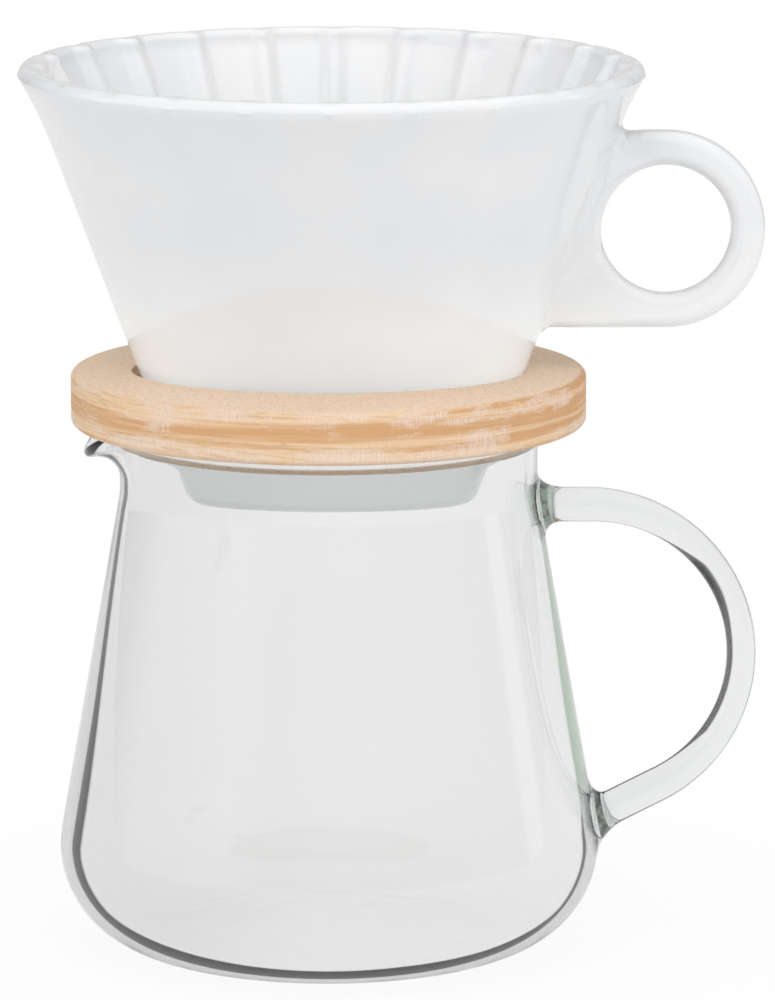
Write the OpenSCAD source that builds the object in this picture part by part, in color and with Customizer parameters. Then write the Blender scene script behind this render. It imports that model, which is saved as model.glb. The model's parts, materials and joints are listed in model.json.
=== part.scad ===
// Pour-over coffee pot: a blown glass server with a bent rod handle, a turned
// wooden ring on its neck and a ribbed porcelain dripper standing in the ring.
// Origin at the middle of the base, +Z up, handles towards +X, spout towards -X.

/* [Server] */
// Height of the server to its rim
server_h = 107; // [102:0.5:115]
// Outer radius of the neck
neck_r = 42; // [41:0.5:46]
// Height of the neck, from its bend up to the rim
neck_z = 14; // [13:0.5:19]
// Outer radius of the bend between the wall and the neck
neck_bend_r = 18; // [8:1:25]
// Radius of the flat that the server stands on
base_flat_r = 34; // [30:0.5:38]
// Outer radius of the rounded base corner
corner_r = 20.5; // [16:0.5:24]
// Thickness of the glass
glass_t = 2; // [1.6:0.1:2.6]

/* [Spout] */
// Half of the angle that the spout takes from the rim
spout_half_angle = 26; // [18:1:34]
// Turn of the lip at the middle of the spout
spout_turn = 88; // [50:1:90]
// Length of the wall that is bent
spout_bend_len = 7.5; // [6:0.5:9]
// Length of the straight lip after the bend
spout_lip_len = 3.2; // [2:0.2:5]

/* [Server handle] */
// Thickness of the glass rod at the far side of the bow
rod_d = 5.9; // [5:0.1:7]
// Thickness of the glass rod at the welds
rod_end_d = 7.2; // [6.5:0.1:8]
// Distance of the handle's far side from the middle of the server
handle_reach = 86.2; // [82:0.2:92]
// Radius of the handle's bow, along the middle of the rod
handle_bow_r = 30.6; // [26:0.2:31]
// Height of the middle of the bow above half of the server's height
handle_bow_z = 6; // [3.5:0.5:7.5]
// Angle below level at which the bow runs out straight
handle_bow_end = 63; // [56:1:68]
// Radius of the upper weld on the wall
upper_weld_r = 6.8; // [5.5:0.1:7.5]
// Radius of the lower weld on the wall
lower_weld_r = 7.6; // [6:0.1:8.5]
// Length of each weld, from the wall to the plain rod
weld_len = 4.6; // [3.5:0.2:6]

/* [Wooden ring] */
// Outer radius of the ring
ring_r = 51.7; // [48:0.1:56]
// Thickness of the ring
ring_t = 10.5; // [8:0.5:13]
// Rounding of the ring's outer edges
ring_round = 2; // [1:0.1:3]
// Depth of the spigot that drops into the neck
spigot_h = 3.3; // [2:0.1:5]
// Gap between the spigot and the inside of the neck
spigot_gap = 0.5; // [0.3:0.1:1]
// Gap between the rim and the underside of the ring
ring_seat_gap = 0.2; // [0.1:0.05:0.3]
// Bevel around the top of the seat
seat_bevel = 0.8; // [0.4:0.1:1.2]

/* [Dripper] */
// Half width of the dripper where it enters the ring
seat_half_w = 38.9; // [36:0.1:41]
// Half depth of the dripper where it enters the ring
seat_half_d = 27.8; // [25:0.1:31]
// Gap between the dripper and its seat
seat_gap = 0.8; // [0.5:0.1:1]
// Outer radius of the body's line at the rim
rim_r = 61; // [56:0.5:66]
// Height of the middle of the lip above the ring
drip_above = 59.7; // [50:0.1:68]
// Depth of the plug below the top of the ring
drip_below = 27.2; // [20:0.1:27.5]
// Outward flare of the rim
rim_flare = 1.5; // [0.5:0.1:2.5]
// Height over which the rim flares
rim_flare_h = 14; // [8:1:20]
// Thickness of the porcelain wall
drip_wall = 4.2; // [3.5:0.1:5]
// Thickness of the floor
drip_floor = 4.5; // [3:0.1:6]
// Step from the body in to the plug
plug_step = 1.3; // [0.6:0.1:1.6]
// Height of the rounded shoulder above the plug
shoulder_h = 5; // [3:0.5:7]
// Rounding of the plug's bottom edge
plug_round = 4; // [2:0.5:5]
// Number of ribs inside
rib_count = 24; // [16:4:28]
// Height of a rib
rib_h = 1.6; // [0.8:0.1:2]
// Height over which the ribs rise out of the floor
rib_rise_h = 8; // [5:1:14]
// Diameter of a brew hole
brew_hole_d = 5; // [3:0.5:6]
// Distance between the brew holes
brew_hole_pitch = 14; // [10:0.5:16]

/* [Dripper handle] */
// Distance of the finger ring's middle from the dripper's axis
finger_x = 67; // [64:0.2:72]
// Depth of the finger ring's middle below the lip
finger_drop = 31.2; // [28:0.2:34]
// Radius of the finger hole
finger_hole_r = 13; // [11:0.2:14]
// Width of the band around the finger hole
finger_band = 6.8; // [5:0.1:8]
// Thickness of the handle
finger_t = 7.6; // [6:0.2:9]
// Rounding of the handle's edges
finger_round = 2.6; // [1.5:0.1:2.8]

/* [Hidden] */
$fn = 96;

glass_tint = [0.86, 0.9, 0.89, 0.45];
beech = [0.86, 0.7, 0.54];
porcelain = [0.93, 0.93, 0.94];

// Server profile: the wall is the line that leaves the corner's arc and ends at the neck
bend_z = server_h - neck_z;
wall_lean = asin(corner_r / norm([neck_r - base_flat_r, bend_z - corner_r]))
    - atan2(neck_r - base_flat_r, bend_z - corner_r);
bend_run = neck_bend_r * tan(wall_lean / 2);
bend_c = [neck_r + neck_bend_r, bend_z + bend_run];
corner_c = [base_flat_r, corner_r];
inner_neck_r = neck_r - glass_t;

// Spout: the wall from spout_z up is turned outwards
spout_pull = 0.6;
spout_z = server_h - glass_t / 2 + spout_pull - spout_bend_len - spout_lip_len;
spout_cut_z = spout_z - 0.5;
spout_sections = 28;
spout_lap = 0.05;
spout_lap_angle = 1.2;
spout_lap_h = 0.8;

// Server handle
bow_x = handle_reach - rod_d / 2 - handle_bow_r;
bow_z = server_h / 2 + handle_bow_z;
upper_z = bow_z + handle_bow_r;
bow_end = [bow_x + handle_bow_r * cos(handle_bow_end), bow_z - handle_bow_r * sin(handle_bow_end)];
lower_run = (bow_end[0] - wall_r(bow_end[1])) / (sin(handle_bow_end) + cos(handle_bow_end) * tan(wall_lean));
lower_foot = bow_end - lower_run * [sin(handle_bow_end), cos(handle_bow_end)];
weld_root = 9;
rod_sides = 20;
rod_steps = 24;

// Ring and dripper levels
ring_z = server_h + ring_seat_gap;
ring_top = ring_z + ring_t;
spigot_r = inner_neck_r - spigot_gap;
rim_z = ring_top + drip_above;
plug_z = ring_top - drip_below;
lip_r = drip_wall / 2;
// The dripper leans on the handle side of its seat
drip_shift = 0.6 * seat_gap;

// Points around the dripper: five to each rib
around = 5 * rib_count;
shoulder_z = ring_top - 0.6 * shoulder_h;
plug_levels = [for (a = [0:30:90]) plug_z + plug_round * (1 - cos(a))];
shoulder_levels = [for (k = [0:1/3:1]) shoulder_z + k * shoulder_h];
flare_levels = [for (k = [0, 0.4, 0.75, 1]) rim_z - rim_flare_h * (1 - k)];
shell_levels = concat(shoulder_levels, flare_levels);
outer_levels = concat(plug_levels, shell_levels);
floor_z = plug_z + drip_floor;
floor_levels = [for (a = [0:45:90]) floor_z + plug_round * (1 - cos(a))];
inner_levels = concat(floor_levels, [floor_z + plug_round + rib_rise_h], flare_levels);
lip_angles = [45, 90, 135];

finger_r = finger_hole_r + finger_band;
finger_z = rim_z - finger_drop;

function clamp01(x) = min(1, max(0, x));
function smooth(x) = let(k = clamp01(x)) k * k * (3 - 2 * k);
function arc(c, r, a0, a1, n = 12) = [for (i = [0:n]) let(a = a0 + (a1 - a0) * i / n) c + r * [cos(a), sin(a)]];

// Outer radius of the server's straight wall at a height
function wall_r(z) = neck_r + (bend_z - z) * tan(wall_lean);

// Side of the server at a depth t under its outer face, from the base up to the neck
function server_side(t) = concat(
    [[0, t]],
    arc(corner_c, corner_r - t, -90, wall_lean, 16),
    arc(bend_c, neck_bend_r + t, 180 + wall_lean, 180, 6));

// Faces of a closed stack of m rings with n points each
function stack_faces(n, m) = concat(
    [[for (i = [0:n - 1]) i]],
    [for (j = [0:m - 2], i = [0:n - 1], k = [0, 1])
        let(a = j * n + i, b = j * n + (i + 1) % n)
        k == 0 ? [a, a + n, b + n] : [a, b + n, b]],
    [[for (i = [n - 1:-1:0]) (m - 1) * n + i]]);

// Middle line of the spout's wall: radius, height and turn at a length s past its root
function spout_turn_at(u) = abs(u) < 1 ? spout_turn * pow(cos(90 * u), 2) : 0;
function spout_mid(u, s) =
    let(turn = spout_turn_at(u), bent = min(max(s, 0), spout_bend_len),
        a = turn * bent / spout_bend_len, past = max(0, s - spout_bend_len),
        bow = turn > 0.01 ? spout_bend_len / (turn * PI / 180) : 0)
    [neck_r - glass_t / 2 + (turn > 0.01 ? bow * (1 - cos(a)) : 0) + past * sin(a),
     spout_z + min(s, 0) + (turn > 0.01 ? bow * sin(a) : bent) + past * cos(a), a];
function spout_side(u, s, d) = let(m = spout_mid(u, s)) [m[0] + d * cos(m[2]), m[1] - d * sin(m[2])];
function spout_end(u) = spout_bend_len + spout_lip_len - spout_pull * (1 - spout_turn_at(u) / spout_turn);
function spout_steps(u) = concat(
    [spout_cut_z - spout_lap_h - spout_z],
    [for (i = [0:7]) spout_bend_len * i / 7], [spout_end(u)]);
function spout_section(u) =
    let(d = glass_t / 2 - spout_lap, steps = spout_steps(u), last = len(steps) - 1,
        tip = spout_mid(u, spout_end(u)))
    concat(
        [for (s = steps) spout_side(u, s, d)],
        [for (e = [45, 90, 135]) [tip[0] + d * cos(e - tip[2]), tip[1] + d * sin(e - tip[2])]],
        [for (i = [last:-1:0]) spout_side(u, steps[i], -d)]);

// Middle, angle and thickness of the rod at a share k of the bow, which thins towards its far side
function rod_stop(k) = let(a = -handle_bow_end + k * (90 + handle_bow_end))
    [[bow_x, bow_z] + handle_bow_r * [cos(a), sin(a)], a,
     rod_d + (rod_end_d - rod_d) * pow(2 * k - 1, 2)];
function rod_ring(c, a, d) = [for (i = [0:rod_sides - 1]) let(t = 360 * i / rod_sides)
    [c[0] + d / 2 * cos(t) * cos(a), d / 2 * sin(t), c[1] + d / 2 * cos(t) * sin(a)]];

// Half width or half depth of the dripper at a height, from its size at the seat
function drip_line(z, seat) = seat + (rim_r - seat) * (z - ring_top) / drip_above
    + rim_flare * pow(clamp01((z - rim_z + rim_flare_h) / rim_flare_h), 2);
function plug_inset(z) = plug_step * (1 - smooth((z - shoulder_z) / shoulder_h));
function round_in(z, base) = let(k = clamp01((base + plug_round - z) / plug_round)) plug_round * (1 - sqrt(1 - k * k));
function drip_point(z, inset, a) =
    [(drip_line(z, seat_half_w) - inset) * cos(a), (drip_line(z, seat_half_d) - inset) * sin(a), z];

// Height of the ribbing at an angle, as a share of rib_h
function rib_share(a) =
    let(pitch = 360 / rib_count, off = abs(a - pitch * round(a / pitch)))
    off < pitch / 3 ? pow(cos(90 * off / (pitch / 3)), 2) : 0;

// The ribs rise out of the floor's rounded corner
function rib_rise(z) = smooth((z - floor_z) / rib_rise_h);

function drip_angle(i) = 360 * i / around;
function drip_outer_ring(z) =
    [for (i = [0:around - 1]) drip_point(z, plug_inset(z) + round_in(z, plug_z), drip_angle(i))];
function drip_lip_ring(e) =
    [for (i = [0:around - 1]) let(a = drip_angle(i))
        drip_point(rim_z, lip_r * (1 - cos(e)) + rib_h * rib_share(a) * pow(max(0, -cos(e)), 2), a)
            + [0, 0, lip_r * sin(e)]];
function drip_inner_ring(z) =
    [for (i = [0:around - 1]) let(a = drip_angle(i))
        drip_point(z, drip_wall + rib_h * rib_share(a) * rib_rise(z) + round_in(z, floor_z), a)];
function flat_points(rings) = [for (ring = rings, p = ring) p];

module server_outline_solid() {
    rotate_extrude()
        polygon(concat(server_side(0), [[neck_r, server_h], [0, server_h]]));
}

module server_shell() {
    inside = server_side(glass_t);
    rotate_extrude()
        polygon(concat(
            server_side(0),
            arc([neck_r - glass_t / 2, server_h - glass_t / 2], glass_t / 2, 0, 180, 8),
            [for (i = [len(inside) - 1:-1:0]) inside[i]]));
}

module spout_opening() {
    rotate([0, 0, 180 - spout_half_angle])
        rotate_extrude(angle = 2 * spout_half_angle)
            translate([inner_neck_r - 1, spout_cut_z])
                square([glass_t + 2, server_h - spout_cut_z + 1]);
}

module spout_wall() {
    lap = 1 + spout_lap_angle / spout_half_angle;
    sections = [for (k = [0:spout_sections]) let(u = lap * (1 - 2 * k / spout_sections), a = 180 + spout_half_angle * u)
        [for (q = spout_section(u)) [q[0] * cos(a), q[0] * sin(a), q[1]]]];
    polyhedron(flat_points(sections), stack_faces(len(sections[0]), len(sections)));
}

module server_body() {
    color(glass_tint) {
        difference() {
            server_shell();
            spout_opening();
        }
        spout_wall();
    }
}

// The rod runs from the lower weld around the bow to the upper weld
module server_handle() {
    stops = [for (k = [0:rod_steps]) rod_stop(k / rod_steps)];
    lower_end = lower_foot + weld_len * [sin(handle_bow_end), cos(handle_bow_end)];
    upper_end = [wall_r(upper_z) + weld_len, upper_z];
    rings = concat(
        [rod_ring(lower_end, -handle_bow_end, rod_end_d)],
        [for (s = stops) rod_ring(s[0], s[1], s[2])],
        [rod_ring(upper_end, 90, rod_end_d)]);
    color(glass_tint) polyhedron(flat_points(rings), stack_faces(rod_sides, len(rings)));
}

// A flared pad between the wall and the rod, along +Z from the wall
module weld_pad(foot_r) {
    swell = foot_r - rod_end_d / 2;
    rotate_extrude()
        polygon(concat(
            [[0, -weld_root], [foot_r, -weld_root]],
            [for (k = [0:0.125:1]) [foot_r - swell * sqrt(1 - pow(1 - k, 2)), weld_len * k]],
            [[0, weld_len]]));
}

module upper_handle_weld() {
    color(glass_tint) difference() {
        translate([wall_r(upper_z), 0, upper_z]) rotate([0, 90, 0]) weld_pad(upper_weld_r);
        server_outline_solid();
    }
}

module lower_handle_weld() {
    color(glass_tint) difference() {
        translate([lower_foot[0], 0, lower_foot[1]]) rotate([0, handle_bow_end, 0]) weld_pad(lower_weld_r);
        server_outline_solid();
    }
}

// The seat follows the dripper's own lines, with the gap all round
module seat_opening() {
    below = ring_z - spigot_h - 1;
    bevel_z = ring_top - seat_bevel;
    levels = concat([below], [for (z = shoulder_levels) if (z < bevel_z) z], [bevel_z, ring_top, ring_top + 1]);
    sides = 96;
    rings = [for (z = levels)
        [for (i = [0:sides - 1]) drip_point(z, plug_inset(z) - seat_gap - max(0, z - bevel_z), 360 * i / sides)]];
    polyhedron(flat_points(rings), stack_faces(sides, len(rings)));
}

module wood_ring() {
    color(beech) difference() {
        rotate_extrude()
            polygon(concat(
                [[0, ring_z - spigot_h], [spigot_r - 0.6, ring_z - spigot_h], [spigot_r, ring_z - spigot_h + 0.6],
                 [spigot_r, ring_z]],
                arc([ring_r - ring_round, ring_z + ring_round], ring_round, -90, 0, 6),
                arc([ring_r - ring_round, ring_top - ring_round], ring_round, 0, 90, 6),
                [[0, ring_top]]));
        seat_opening();
    }
}

module dripper_body() {
    rings = concat(
        [for (z = outer_levels) drip_outer_ring(z)],
        [for (e = lip_angles) drip_lip_ring(e)],
        [for (i = [len(inner_levels) - 1:-1:0]) drip_inner_ring(inner_levels[i])]);
    color(porcelain) translate([drip_shift, 0, 0]) difference() {
        polyhedron(flat_points(rings), stack_faces(around, len(rings)));
        for (k = [-1:1])
            translate([k * brew_hole_pitch, 0, plug_z - 1]) rotate([0, 0, 40])
                cylinder(d = brew_hole_d, h = drip_floor + 2, $fn = 32);
    }
}

// The part of the dripper's outside that the handle grows from
module handle_root() {
    reach = floor(around / 8);
    rings = [for (z = shell_levels)
        concat([[0, 0, z]], [for (i = [-reach:reach]) drip_point(z, plug_inset(z), drip_angle(i))])];
    polyhedron(flat_points(rings), stack_faces(2 * reach + 2, len(rings)));
}

// Outline of the handle, drawn in by an inset all round: a half disc and the web to the body
module finger_outline(inset) {
    r = finger_r - inset;
    polygon(concat([[-finger_r * 1.6, -r]], arc([0, 0], r, -90, 90, 32), [[-finger_r * 1.6, r]]));
}

module dripper_handle() {
    color(porcelain) translate([drip_shift, 0, 0]) difference() {
        translate([finger_x, 0, finger_z]) rotate([90, 0, 0]) difference() {
            hull() for (e = [0:30:90])
                linear_extrude(finger_t - 2 * finger_round * (1 - cos(e)), center = true)
                    finger_outline(finger_round * (1 - sin(e)));
            rotate_extrude() polygon(concat(
                [[0, -finger_t]], [[finger_hole_r + finger_round, -finger_t]],
                arc([finger_hole_r + finger_round, -finger_t / 2 + finger_round], finger_round, 270, 180, 4),
                arc([finger_hole_r + finger_round, finger_t / 2 - finger_round], finger_round, 180, 90, 4),
                [[finger_hole_r + finger_round, finger_t], [0, finger_t]]));
        }
        handle_root();
    }
}

server_body();
server_handle();
upper_handle_weld();
lower_handle_weld();
wood_ring();
dripper_body();
dripper_handle();
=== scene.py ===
"""Dresses the coffee pot: a glass server, a beech ring and a porcelain dripper, on a white studio floor."""

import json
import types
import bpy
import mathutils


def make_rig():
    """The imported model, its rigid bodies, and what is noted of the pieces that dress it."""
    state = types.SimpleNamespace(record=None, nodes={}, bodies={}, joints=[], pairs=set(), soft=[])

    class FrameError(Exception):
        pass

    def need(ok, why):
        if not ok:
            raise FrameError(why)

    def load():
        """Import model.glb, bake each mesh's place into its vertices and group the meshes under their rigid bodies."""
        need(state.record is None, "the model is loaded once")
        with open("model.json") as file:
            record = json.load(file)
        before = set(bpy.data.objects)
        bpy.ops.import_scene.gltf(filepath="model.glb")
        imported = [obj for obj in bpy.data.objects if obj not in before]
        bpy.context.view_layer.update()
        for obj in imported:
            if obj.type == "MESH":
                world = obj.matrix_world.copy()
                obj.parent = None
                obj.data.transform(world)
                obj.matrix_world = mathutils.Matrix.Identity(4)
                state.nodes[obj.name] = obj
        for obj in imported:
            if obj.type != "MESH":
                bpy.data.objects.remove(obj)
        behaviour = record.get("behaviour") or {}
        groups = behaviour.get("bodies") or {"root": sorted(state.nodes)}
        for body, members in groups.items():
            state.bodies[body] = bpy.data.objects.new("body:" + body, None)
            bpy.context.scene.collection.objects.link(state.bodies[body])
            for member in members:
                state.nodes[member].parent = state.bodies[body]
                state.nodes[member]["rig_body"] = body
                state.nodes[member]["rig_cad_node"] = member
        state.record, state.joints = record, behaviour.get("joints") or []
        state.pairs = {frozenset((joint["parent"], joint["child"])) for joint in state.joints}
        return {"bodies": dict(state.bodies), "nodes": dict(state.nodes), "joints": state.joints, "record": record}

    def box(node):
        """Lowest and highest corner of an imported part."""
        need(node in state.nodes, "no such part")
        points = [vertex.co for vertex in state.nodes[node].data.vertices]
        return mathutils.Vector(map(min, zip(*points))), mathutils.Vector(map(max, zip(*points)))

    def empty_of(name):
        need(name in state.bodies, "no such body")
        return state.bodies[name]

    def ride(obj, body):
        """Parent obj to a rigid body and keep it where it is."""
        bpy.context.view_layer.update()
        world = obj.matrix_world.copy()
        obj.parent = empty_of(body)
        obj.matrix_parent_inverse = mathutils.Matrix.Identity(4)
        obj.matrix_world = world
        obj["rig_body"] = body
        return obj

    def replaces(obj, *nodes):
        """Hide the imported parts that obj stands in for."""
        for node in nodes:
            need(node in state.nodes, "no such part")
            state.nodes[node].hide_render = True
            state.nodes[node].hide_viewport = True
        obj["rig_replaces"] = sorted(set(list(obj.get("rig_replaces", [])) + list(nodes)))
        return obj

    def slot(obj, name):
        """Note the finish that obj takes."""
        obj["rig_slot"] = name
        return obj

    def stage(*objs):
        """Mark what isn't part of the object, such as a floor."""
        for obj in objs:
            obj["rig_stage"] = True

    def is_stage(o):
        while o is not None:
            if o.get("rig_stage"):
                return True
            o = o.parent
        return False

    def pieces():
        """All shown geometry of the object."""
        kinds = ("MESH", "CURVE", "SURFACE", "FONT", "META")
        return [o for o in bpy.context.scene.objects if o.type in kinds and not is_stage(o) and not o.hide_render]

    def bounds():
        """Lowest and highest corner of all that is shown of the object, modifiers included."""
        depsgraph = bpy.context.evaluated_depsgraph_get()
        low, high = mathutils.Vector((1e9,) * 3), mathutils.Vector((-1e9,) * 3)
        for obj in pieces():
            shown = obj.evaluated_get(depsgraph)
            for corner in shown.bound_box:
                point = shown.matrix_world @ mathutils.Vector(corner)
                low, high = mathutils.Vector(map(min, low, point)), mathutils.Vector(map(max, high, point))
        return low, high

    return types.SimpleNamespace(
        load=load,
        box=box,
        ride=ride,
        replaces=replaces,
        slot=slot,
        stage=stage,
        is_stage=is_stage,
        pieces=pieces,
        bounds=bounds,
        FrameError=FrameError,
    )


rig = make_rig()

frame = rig.load()

import json
from math import asin, atan2, cos, dist, hypot, pi, radians, sin, sqrt, tan

import bmesh
import bpy
from bpy.props import FloatProperty, FloatVectorProperty, IntProperty, PointerProperty
from mathutils import Vector

bl_info = {
    "name": "Coffee Pot With Dripper",
    "version": (1, 0, 0),
    "blender": (4, 5, 0),
    "location": "View3D > Sidebar > Coffee Pot",
    "description": "Builds the glass, wood and porcelain of a pour-over coffee pot",
    "category": "Add Mesh",
}

SIZE_FILE = "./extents.json"
CAD_BOX = [list(corner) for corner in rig.bounds()]
SERVER_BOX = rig.box("server_body")
RING_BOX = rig.box("wood_ring")
DRIPPER_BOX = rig.box("dripper_body")
FINGER_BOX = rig.box("dripper_handle")
ROD_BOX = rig.box("server_handle")
TURN = 2 * pi
MM = 0.001


def length(name, description, default):
    return FloatProperty(name=name, description=description, default=default, unit="LENGTH", precision=5)


def angle(name, description, degrees):
    return FloatProperty(name=name, description=description, default=radians(degrees), subtype="ANGLE")


def colour(name, description, default):
    return FloatVectorProperty(name=name, description=description, default=default, size=3, min=0, max=1,
                               subtype="COLOR")


def share(name, description, default):
    return FloatProperty(name=name, description=description, default=default, min=0, max=1, subtype="FACTOR")


def number(name, description, default):
    return FloatProperty(name=name, description=description, default=default)


class ServerSizes(bpy.types.PropertyGroup):
    """Sizes of the glass server and its rod handle"""

    height: length("Height", "Height of the rim", SERVER_BOX[1].z)
    neck_radius: length("Neck radius", "Outer radius of the neck", 0.042)
    neck_height: length("Neck height", "Height of the bend between the wall and the neck", 0.093)
    neck_bend: length("Neck bend", "Outer radius of the bend under the neck", 0.018)
    base_flat: length("Base flat", "Radius of the flat that the server stands on", 0.034)
    corner: length("Corner", "Outer radius of the base corner", 0.0205)
    glass: length("Glass", "Thickness of the glass", 0.002)
    bead: length("Bead", "Half of what the fire-polished rim is thicker than the wall", 0.0005)
    push_up: length("Push-up", "Rise of the underside at its middle", 0.0005)
    spout_half: angle("Spout half angle", "Half of the angle that the spout takes from the rim", 26)
    spout_turn: angle("Spout turn", "Turn of the lip at the middle of the spout", 88)
    spout_bend: length("Spout bend", "Length of the wall that is bent", 0.0075)
    spout_lip: length("Spout lip", "Length of the straight lip after the bend", 0.0024)
    spout_pull: length("Spout pull", "How far the lip is drawn out", 0.0006)
    rod: length("Rod", "Thickness of the rod at the far side of the bow", 0.0058)
    rod_end: length("Rod end", "Thickness of the rod at the welds", 0.0070)
    bow_radius: length("Bow radius", "Radius of the handle's bow", 0.0306)
    bow_height: length("Bow height", "Height of the middle of the bow", 0.0595)
    bow_end: angle("Bow end", "Angle below level at which the bow runs out straight", 63)
    upper_weld: length("Upper weld", "Radius of the upper weld on the wall", 0.0068)
    lower_weld: length("Lower weld", "Radius of the lower weld on the wall", 0.0076)
    weld_length: length("Weld length", "Length of a weld, from the wall to the plain rod", 0.0046)


class RingSizes(bpy.types.PropertyGroup):
    """Sizes of the wooden ring"""

    rounding: length("Rounding", "Rounding of the outer edges", 0.0013)
    spigot_depth: length("Spigot depth", "Depth of the spigot that drops into the neck", 0.0027)
    spigot_radius: length("Spigot radius", "Radius of the spigot", 0.0395)
    seat_gap: length("Seat gap", "Gap between the dripper and its seat", 0.0008)
    seat_bevel: length("Seat bevel", "Rounding around the top of the seat", 0.0004)


class DripperSizes(bpy.types.PropertyGroup):
    """Sizes of the porcelain dripper and its finger ring"""

    slide: length("Slide", "How far the dripper has slid in its seat towards the handle", 0.0002)
    seat_width: length("Seat half width", "Half width where the dripper enters the ring", 0.0389)
    seat_depth: length("Seat half depth", "Half depth where the dripper enters the ring", 0.0278)
    rim_radius: length("Rim radius", "Outer radius of the body's line at the rim", 0.061)
    rim_flare: length("Rim flare", "Outward flare of the rim", 0.0015)
    flare_height: length("Flare height", "Height over which the rim flares", 0.014)
    wall: length("Wall", "Thickness of the wall", 0.0042)
    floor: length("Floor", "Thickness of the floor", 0.0045)
    plug_step: length("Plug step", "Step from the body in to the plug", 0.0002)
    shoulder: length("Shoulder", "Height of the rounded shoulder above the plug", 0.005)
    plug_round: length("Plug rounding", "Rounding of the plug's bottom edge", 0.0024)
    rib_count: IntProperty(name="Ribs", description="Number of ribs inside", default=24, min=8, max=40)
    rib_height: length("Rib height", "Height of a rib", 0.0019)
    rib_width: share("Rib width", "Half width of a rib's foot, as a share of the ribs' spacing", 0.25)
    rib_rise: length("Rib rise", "Height over which the ribs rise out of the floor", 0.008)
    brew_hole: length("Brew hole", "Diameter of a brew hole", 0.005)
    brew_pitch: length("Brew hole pitch", "Distance between the brew holes", 0.014)
    finger_hole: length("Finger hole", "Radius of the finger hole", 0.013)
    finger_round: length("Finger rounding", "Rounding of the handle's edges", 0.0026)
    finger_fillet: length("Finger fillet", "Fillet of the handle's upper edge into the body", 0.0022)
    finger_root: length("Finger root", "Fillet of the handle's faces into the body", 0.013)


class Finishes(bpy.types.PropertyGroup):
    """Colours and gloss of the three materials"""

    glass_clear: colour("Clear glass", "Colour of the glass seen straight through", (0.955, 0.955, 0.955))
    # Painted shade: the glass on its left, spout side is coloured darker.
    glass_painted_shade: colour("Shaded glass", "Colour of the glass on the spout's side", (0.90, 0.90, 0.90))
    # Painted shade: the grey band where a wall is seen edge on, in place of what the glass bends and mirrors there.
    glass_painted_band: colour("Glass band", "Colour of the wall where it is seen edge on", (0.56, 0.57, 0.55))
    # That painted band in the glass's green, on the handle's side between the welds.
    glass_green_painted_band: colour("Green band", "Colour of that wall between the welds", (0.16, 0.28, 0.17))
    # Painted shade: dark lines along the glass's edges and in the rod's bow, in place of refracted surroundings.
    glass_painted_edge_line: colour("Glass edge", "Colour of the lines along the glass's edges", (0.002, 0.0024, 0.002))
    # Painted highlight: the pale colour of the rim stands in for its highlights.
    glass_rim_painted_highlight: colour("Glass rim", "Colour of the milky, fire-polished rim", (0.86, 0.87, 0.88))
    glass_weld: colour("Glass weld", "Colour of the drawn glass at the welds", (0.34, 0.46, 0.35))
    glass_tint: colour("Glass tint", "Colour that long paths through the glass take", (0.25, 0.33, 0.29))
    glass_depth: number("Glass depth", "Strength of the tint per metre of glass", 32)
    glass_index: number("Glass index", "Index of refraction of the glass", 1.47)
    porcelain: colour("Porcelain", "Colour of the glaze", (0.755, 0.765, 0.78))
    # Partly painted light: lighter and warmer low on the dripper, for the light the wood throws up; also the glaze's
    # random paler clouds.
    porcelain_cloud_and_warm_light: colour("Thin porcelain", "Colour where the glaze is thin, low on the dripper",
                           (0.98, 0.95, 0.92))
    # Painted light: the foot is coloured lighter to make up for the shade in the ring and the neck.
    porcelain_foot_painted_light: colour("Porcelain foot", "Colour of the bare foot in the ring", (0.89, 0.90, 0.915))
    porcelain_rough: share("Porcelain roughness", "Roughness of the glaze", 0.08)
    beech_pale: colour("Pale beech", "Colour of the early wood", (0.86, 0.68, 0.52))
    beech_side: colour("Beech side", "Colour of the early wood on the turned side", (0.78, 0.56, 0.355))
    beech_dark: colour("Dark beech", "Colour of the late wood", (0.62, 0.345, 0.16))
    # Painted shade in the seat around the dripper.
    beech_painted_seat_shade: colour("Beech seat", "Colour of the shaded seat around the dripper", (0.25, 0.14, 0.07))
    beech_chalk: colour("Torn grain", "Colour of the torn, dry grain on the turned side", (0.79, 0.65, 0.56))
    beech_fleck: colour("Fleck", "Colour of the ray flecks", (0.55, 0.33, 0.18))


class StageSettings(bpy.types.PropertyGroup):
    """Camera and light"""

    camera_side: length("Camera side", "Sideways place of the camera", 0.01183)
    camera_distance: length("Camera distance", "Distance of the camera from the server's axis", 1.4203)
    camera_height: length("Camera height", "Height of the camera", 0.35966)
    camera_pitch: angle("Camera pitch", "How far the camera looks down", 10.714)
    lens: number("Lens", "Focal length for a 36 mm long side", 258.4)
    sky: number("Sky", "Light from all round", 0.60)
    mirror_sky: share("Mirror sky", "How much of the white backdrop mirrors show", 0.4)
    box_gloss: number("Box gloss", "Brightness of the side boxes in mirrors", 1.4)
    floor_radius: length("Floor radius", "Radius of the studio floor", 1.2)
    shadow_keep: share("Shadow", "How much of its shading the floor keeps near the pot", 0.12)


GROUPS = {"pot_server": ServerSizes, "pot_ring": RingSizes, "pot_dripper": DripperSizes,
          "pot_finishes": Finishes, "pot_stage": StageSettings}


def settings(name):
    return getattr(bpy.context.scene, name)


# Numbers

def smooth(x):
    x = min(1.0, max(0.0, x))
    return x * x * (3 - 2 * x)


def steps(low, high, count):
    """count + 1 numbers from low to high."""
    return [low + (high - low) * i / count for i in range(count + 1)]


def turns(count):
    """count angles that share out a full turn."""
    return steps(0, TURN, count)[:-1]


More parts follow.
